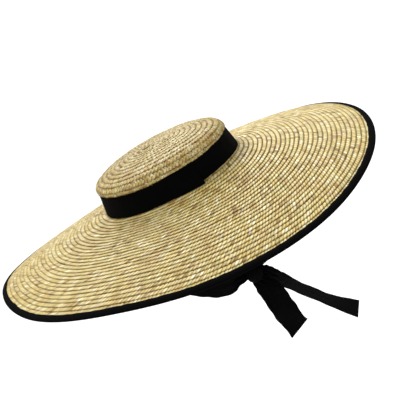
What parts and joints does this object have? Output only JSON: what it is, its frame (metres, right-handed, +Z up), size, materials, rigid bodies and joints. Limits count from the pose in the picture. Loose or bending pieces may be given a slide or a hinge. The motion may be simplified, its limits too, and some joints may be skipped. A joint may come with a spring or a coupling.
{
  "type": "straw hat",
  "caption": "Wide-brimmed sun hat of sewn straw braid with a low oval crown, a ribbon band, a bound edge, and ribbon ties in a bow.",
  "frame": {"origin": "middle of the opening that the head goes into, at the foot of the crown", "axes": "+Z up the crown, -Y to the front of the hat, +X to the wearer's left"},
  "size_m": [0.5314, 0.5314, 0.3493],
  "materials": {
    "straw": "sewn rows of natural straw braid, half matt",
    "band": "black grosgrain ribbon, matt",
    "binding": "black grosgrain ribbon folded over the edge, matt",
    "ribbon": "black grosgrain ribbon, matt"
  },
  "bodies": {
    "root": {"crown": "straw", "brim": "straw", "brim_binding": "binding", "hat_band": "band", "band_lap": "band", "tie_near": "ribbon", "tie_far": "ribbon", "bow_knot": "ribbon", "bow_loop_back": "ribbon", "bow_loop_front": "ribbon", "bow_tail_near": "ribbon", "bow_tail_front": "ribbon"}
  },
  "joints": []
}
